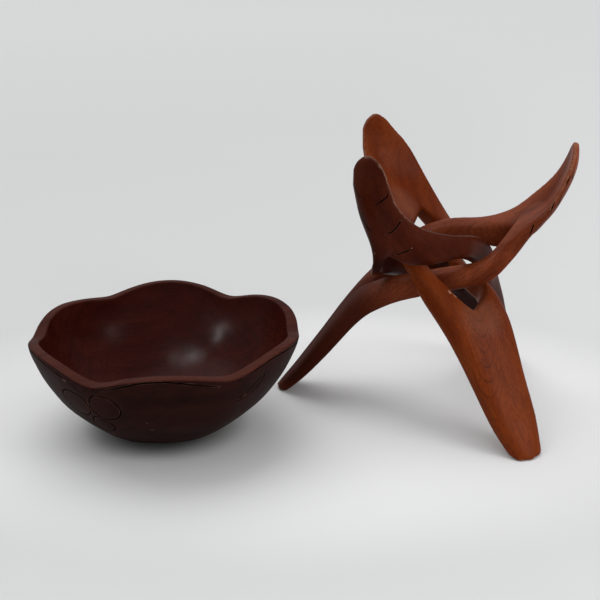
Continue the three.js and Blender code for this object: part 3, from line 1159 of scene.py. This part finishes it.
@dataclass
class Studio:
    """The pale floor, the soft light and the camera."""

    camera_place: Place = (-0.0048, -1.193, 0.5498)
    camera_down: float = math.radians(19.27)
    lens: float = 67.9
    sensor: float = 36.0
    view_depth: float = 60.0
    floor_size: float = 30.0
    floor_place: Place = (0, 0, -0.0002)
    floor_colour: Colour = (0.605, 0.605, 0.6)
    floor_roughness: float = 0.9
    # The colour and strength of the painted shadow round the bowl's base.
    painted_shadow_colour: Colour = (0.05, 0.048, 0.045)
    painted_shadow_strength: float = 0.75
    air_colour: Colour = (0.97, 0.98, 1.0)
    air_strength: float = 0.66
    sun_turn: Place = (math.radians(-24), math.radians(-16), 0.0)
    sun_strength: float = 1.25
    sun_spread: float = math.radians(60)
    look_at: Place = (-0.05, 0.0, 0.08)
    panels: tuple[Panel, ...] = (
        Panel("right_fill", (1.6, -0.9, 1.1), 0.9, 11.0, gleam=False),
        Panel("right_gleam", (0.997, -0.452, 0.776), 0.22, 3.2),
        Panel("left_gleam", (-1.165, -0.552, 0.924), 0.24, 9.0),
        Panel("top_gleam", (-0.472, -0.289, 1.357), 0.22, 7.0),
    )

    def camera(self) -> None:
        """Set the camera where the photograph was taken from."""
        deselect_all()
        turn = (math.pi / 2 - self.camera_down, 0.0, 0.0)
        bpy.ops.object.camera_add(location=self.camera_place, rotation=turn)
        camera = bpy.context.object
        camera.name = "photograph_camera"
        camera.data.lens = self.lens
        camera.data.sensor_width = self.sensor
        camera.data.clip_end = self.view_depth
        bpy.context.scene.camera = camera

    def _paler(self, gain: float) -> Colour:
        """The floor's colour, made lighter by a factor."""
        return tuple(channel * gain for channel in self.floor_colour)

    def _paper(self) -> Material:
        """Make the floor's paper, with painted light that makes it paler far off, to the right and in a
        pool near the pieces, and a painted shadow round the bowl's base.

        Returns:
            The material.
        """
        material = bpy.data.materials.new("studio_paper")
        material.use_nodes = True
        g = Graph(material.node_tree)
        place = g.node("ShaderNodeTexCoord").outputs["Object"]
        x, y = g.node("ShaderNodeSeparateXYZ", place).outputs[:2]
        tone = g.blend(g.cloud(place, 1.2, 2.0), self.floor_colour, self._paler(1.03))
        # Painted light: the floor grows paler far off and to the right.
        tone = g.blend(g.spread(y, 0.5, 4.5), tone, self._paler(1.1))
        tone = g.blend(g.spread(x, 0.1, 0.9), tone, self._paler(1.1))
        # Painted light: a pool of paler floor round the pieces.
        sideways = g.maths("DIVIDE", g.plus(x, 0.02), 0.5)
        deep = g.maths("DIVIDE", g.plus(y, -0.01), 0.35)
        painted_light_pool = g.spread(g.plus(g.squared(sideways), g.squared(deep)), 1.1, 0.25)
        tone = g.blend(painted_light_pool, tone, self._paler(1.3))
        # Painted shadow: the floor darkens round the bowl's base.
        painted_contact_shadow = g.spread(g.distance(place, BOWL_MIDDLE), 0.1, 0.055)
        tone = g.blend(g.times(painted_contact_shadow, self.painted_shadow_strength), tone, self.painted_shadow_colour)
        shader = material.node_tree.nodes["Principled BSDF"]
        g.feed(shader, "Base Color", tone)
        g.feed(shader, "Roughness", self.floor_roughness)
        return material

    def floor(self) -> None:
        """Lay the plain pale floor."""
        deselect_all()
        bpy.ops.mesh.primitive_plane_add(size=self.floor_size, location=self.floor_place)
        floor = bpy.context.object
        floor.name = "studio_floor"
        floor.data.materials.append(self._paper())

    def lights(self) -> None:
        """Hang the soft lights and set the pale surroundings."""
        world = bpy.data.worlds.new("studio_air")
        world.use_nodes = True
        air = world.node_tree.nodes["Background"].inputs
        air["Color"].default_value = (*self.air_colour, 1.0)
        air["Strength"].default_value = self.air_strength
        bpy.context.scene.world = world
        deselect_all()
        bpy.ops.object.light_add(type="SUN", rotation=self.sun_turn)
        sun = bpy.context.object
        sun.name = "overhead_light"
        sun.data.energy = self.sun_strength
        sun.data.angle = self.sun_spread
        for panel in self.panels:
            self._hang(panel)

    def _hang(self, panel: Panel) -> None:
        """Hang one square light, which looks at the bowl.

        Args:
            panel: The light's name, place, size and power.
        """
        deselect_all()
        bpy.ops.object.light_add(type="AREA", location=panel.place)
        light = bpy.context.object
        light.name = panel.name
        light.data.energy = panel.power
        light.data.size = panel.size
        light.visible_diffuse = not panel.gleam
        light.visible_glossy = panel.gleam
        look = Vector(self.look_at) - Vector(panel.place)
        light.rotation_euler = look.to_track_quat("-Z", "Y").to_euler()


def finish_piece(piece: Piece, node: str, body: str) -> None:
    """Shade a piece, hide its rough node and hang the piece from its body's empty.

    Args:
        piece: The finished object.
        node: The node that it stands for.
        body: The body that it moves with.
    """
    pick(piece)
    bpy.ops.object.transform_apply(location=True, rotation=True, scale=True)
    bpy.ops.object.shade_smooth_by_angle(angle=SMOOTH_ANGLE)
    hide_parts(node)
    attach(piece, body)
    log.info("%s stands for %s with %d faces", piece.name, node, len(piece.data.polygons))


def bowl_finishes() -> tuple[WoodFinish, ...]:
    """Choose the bowl's finishes.

    Returns:
        Those of its inside, of the flat top of its rim, made paler as painted light, and of its outside,
        made darker as painted shade.
    """
    inside = WoodFinish(
        name="bowl_wood",
        body=(0.034, 0.0042, 0.0026),
        light=(0.052, 0.0076, 0.0044),
        dark=(0.014, 0.0026, 0.0018),
        worn_and_sheen=(0.2, 0.1, 0.07),
        grain_from=(-0.155, -0.039, 0.19),
        grain_turn=(0.0, 0.0, math.radians(25)),
        ring_spacing=0.009,
        ring_slope=0.05,
        ring_strength=0.3,
        fibre_strength=0.3,
        roughness=0.21,
        specular=0.05,
    )
    # Painted light: the rim's flat top faces up, so it gets a paler copy of the wood.
    rim = replace(
        inside,
        name="bowl_rim_wood_painted_light",
        body=(0.042, 0.0085, 0.005),
        light=(0.07, 0.0165, 0.01),
        roughness=0.5,
        specular=0.03,
    )
    # Painted shade: the outside faces down and away from the light, so it gets a darker copy of the wood.
    outside = replace(
        inside,
        name="bowl_outside_wood_painted_shade",
        body=(0.014, 0.0036, 0.0026),
        light=(0.024, 0.0062, 0.0046),
        dark=(0.006, 0.002, 0.0015),
        roughness=0.48,
        specular=0.03,
        rubs=(
            RubOrShadeSpot((-0.1583, -0.1616, 0.0584), 0.0014, 0.6),
            RubOrShadeSpot((-0.1549, -0.1529, 0.0465), 0.0018, 0.7),
        ),
    )
    return inside, rim, outside


def board_grain(turn: float) -> Place:
    """The turn of a board's grain, which runs from its foot up to its petal."""
    return (0.0, math.radians(-45), math.radians(turn))


def stand() -> tuple[tuple[StandBoard, WoodFinish], ...]:
    """Choose the stand's boards.

    Returns:
        Each board with its finish: the ones with the leg at the left, in front and at the back.
    """
    left = StandBoard("stand_left_leg", -7.0, 1.22)
    front = StandBoard("stand_front_leg", 115.0, 1.6, edge_marks=(), crotch=(-0.0745, -0.0045, 0.133))
    back = StandBoard("stand_back_leg", 233.5, 0.92)
    # The three boards are one wood: their colours differ partly by finish and partly as painted light and
    # shade, the front board paler and more orange, the back one darker.
    front_wood = WoodFinish(
        name="front_leg_wood",
        body=(0.13, 0.019, 0.0024),
        light=(0.2, 0.037, 0.0062),
        dark=(0.038, 0.006, 0.0015),
        worn_and_sheen=(0.5, 0.29, 0.19),
        grain_from=STAND_HEART,
        grain_turn=board_grain(front.turn),
        arch_strength=0.5,
        specular=0.045,
        rubs=(
            # Two broad, faint paler patches, on the leg and on the petal, then small pale scuffs.
            RubOrShadeSpot((0.191, -0.042, 0.128), 0.034, 0.08, 0.9),
            RubOrShadeSpot((0.114, 0.118, 0.2176), 0.03, 0.05, 0.9),
            RubOrShadeSpot((0.1575, -0.034, 0.154), 0.0034, 0.5),
            RubOrShadeSpot((0.164, -0.0335, 0.1495), 0.004, 0.5),
            RubOrShadeSpot((0.171, -0.033, 0.145), 0.003, 0.45),
            RubOrShadeSpot((0.181, -0.031, 0.139), 0.004, 0.4),
        ),
    )
    left_wood = replace(
        front_wood,
        name="left_leg_wood",
        body=(0.12, 0.021, 0.0055),
        light=(0.25, 0.055, 0.02),
        dark=(0.03, 0.0045, 0.0018),
        grain_turn=board_grain(left.turn),
        arch_strength=0.0,
        rubs=(),
        # Painted shade: a broad soft dark patch over the left leg and the low part of its board.
        shade_spots=(RubOrShadeSpot((0.02, 0.035, 0.07), 0.15, 0.88, 0.3),),
    )
    back_wood = replace(
        left_wood,
        name="back_leg_wood",
        body=(0.043, 0.0052, 0.0013),
        light=(0.075, 0.012, 0.0035),
        dark=(0.015, 0.0022, 0.0008),
        grain_turn=board_grain(back.turn),
        specular=0.04,
        # Painted shade: two soft dark patches on the back board, where shade falls.
        shade_spots=(
            RubOrShadeSpot((0.19, 0.105, 0.098), 0.05, 0.9, 0.3),
            RubOrShadeSpot((0.09, -0.03, 0.182), 0.03, 0.9, 0.3),
        ),
    )
    return (left, left_wood), (front, front_wood), (back, back_wood)


def main() -> None:
    """Build and dress every piece, then the studio round them."""
    logging.basicConfig(level=logging.INFO, format="%(message)s")
    studio = Studio()
    studio.camera()
    groups = WoodGroups()
    line_wood = LineFinish().build()
    Bowl().build([finish.build(groups) for finish in bowl_finishes()], line_wood)
    for board, finish in stand():
        board.build(finish.build(groups), line_wood)
    studio.floor()
    studio.lights()
    bpy.context.scene.view_settings.view_transform = "Standard"


if __name__ == "__main__":
    main()
